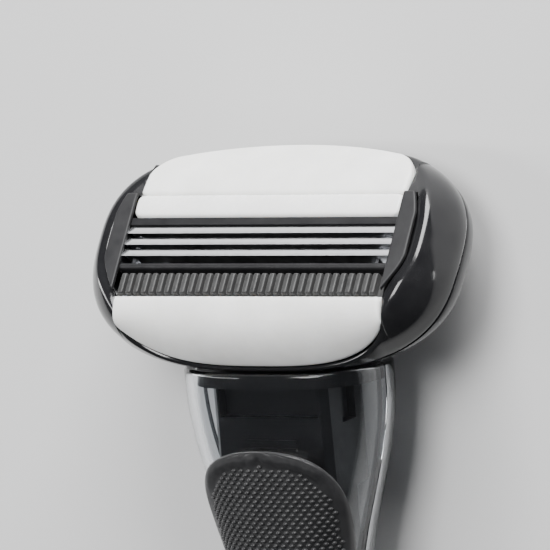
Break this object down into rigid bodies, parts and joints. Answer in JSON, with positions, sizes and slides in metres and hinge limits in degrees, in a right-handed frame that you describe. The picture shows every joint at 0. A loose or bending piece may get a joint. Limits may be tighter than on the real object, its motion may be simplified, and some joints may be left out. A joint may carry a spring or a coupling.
{
  "type": "cartridge razor",
  "caption": "Wet-shaving razor: pivoting cartridge with soap bars, sprung blades and ribbed guard, on a clear handle with a black core and dotted grip.",
  "frame": {"origin": "centre of the base of the whole razor's box, as it lies on its back on a table", "axes": "+X along the blades, -Y towards the head, +Y towards the tail, +Z out of the grip side"},
  "size_m": [0.0456, 0.1414, 0.0196],
  "materials": {
    "gloss_black": "polished black plastic",
    "black_plastic": "satin black plastic",
    "panel_grey": "fine matt dark grey",
    "soap_white": "pressed soap, soft satin",
    "lube_white": "smooth lubricating polymer",
    "fin_rubber": "moulded rubber fins",
    "clip_metal": "stamped aluminium",
    "blade_steel": "ground and polished edge",
    "support_steel": "bent steel strip",
    "plunger_metal": "turned",
    "spring_steel": "drawn wire",
    "core_black": "satin black plastic",
    "clear_shell": "clear polished plastic",
    "grip_rubber": "soft rubber with small raised dots",
    "button_grey": "satin plastic"
  },
  "bodies": {
    "handle": {"docking_arm": "core_black", "neck_collar": "gloss_black", "inner_core": "core_black", "core_spine": "core_black", "front_shell": "clear_shell", "rear_shell": "clear_shell", "front_grip": "grip_rubber", "rear_grip": "grip_rubber", "end_cap": "gloss_black", "plunger_spring": "spring_steel", "button_spring": "spring_steel"},
    "hub": {"cartridge_hub": "black_plastic"},
    "head": {"head_frame": "gloss_black", "rear_cover": "gloss_black", "left_end_panel": "panel_grey", "right_end_panel": "panel_grey", "upper_soap_bar": "soap_white", "lower_soap_bar": "soap_white", "upper_bar_tray": "black_plastic", "lower_bar_tray": "black_plastic", "lubricating_strip": "lube_white", "cap_band": "black_plastic", "guard_bar": "black_plastic", "guard_strip": "fin_rubber", "blade_tray": "black_plastic", "left_clip": "clip_metal", "right_clip": "clip_metal", "pivot_bracket": "black_plastic", "blade_1_springs": "black_plastic", "blade_2_springs": "black_plastic", "blade_3_springs": "black_plastic"},
    "blade_unit_1": {"blade_1": "blade_steel", "blade_1_support": "support_steel"},
    "blade_unit_2": {"blade_2": "blade_steel", "blade_2_support": "support_steel"},
    "blade_unit_3": {"blade_3": "blade_steel", "blade_3_support": "support_steel"},
    "plunger_body": {"plunger": "plunger_metal"},
    "button": {"release_button": "button_grey", "ejector": "core_black"}
  },
  "joints": [
    {"name": "cartridge_release", "type": "slide", "parent": "handle", "child": "hub", "axis": [0, -1, 0], "range_m": [0, 0.0032]},
    {"name": "head_pivot", "type": "hinge", "parent": "hub", "child": "head", "pos_m": [0, -0.05259, 0.01299], "axis": [1, 0, 0], "range_deg": [0, 40], "stiffness_Nm_per_rad": 0.008, "springref_deg": -20.05},
    {"name": "plunger_slide", "type": "slide", "parent": "handle", "child": "plunger_body", "axis": [0, 1, 0], "range_m": [0, 0.0018], "deforming": ["plunger_spring"]},
    {"name": "release_slide", "type": "slide", "parent": "handle", "child": "button", "axis": [0, -1, 0], "range_m": [0, 0.0033], "stiffness_N_per_m": 120, "springref_m": -0.001, "deforming": ["button_spring"]},
    {"name": "blade_1_float", "type": "slide", "parent": "head", "child": "blade_unit_1", "axis": [0, 0.606, -0.7955], "range_m": [0, 0.0003], "stiffness_N_per_m": 400, "springref_m": -0.0003, "deforming": ["blade_1_springs"]},
    {"name": "blade_2_float", "type": "slide", "parent": "head", "child": "blade_unit_2", "axis": [0, 0.606, -0.7955], "range_m": [0, 0.0003], "stiffness_N_per_m": 400, "springref_m": -0.0003, "deforming": ["blade_2_springs"]},
    {"name": "blade_3_float", "type": "slide", "parent": "head", "child": "blade_unit_3", "axis": [0, 0.606, -0.7955], "range_m": [0, 0.0003], "stiffness_N_per_m": 400, "springref_m": -0.0003, "deforming": ["blade_3_springs"]}
  ],
  "couplings": [
    {"joint": "plunger_slide", "follows": "head_pivot", "m_per_rad": 0.00245},
    {"joint": "release_slide", "follows": "cartridge_release", "ratio": 1}
  ]
}
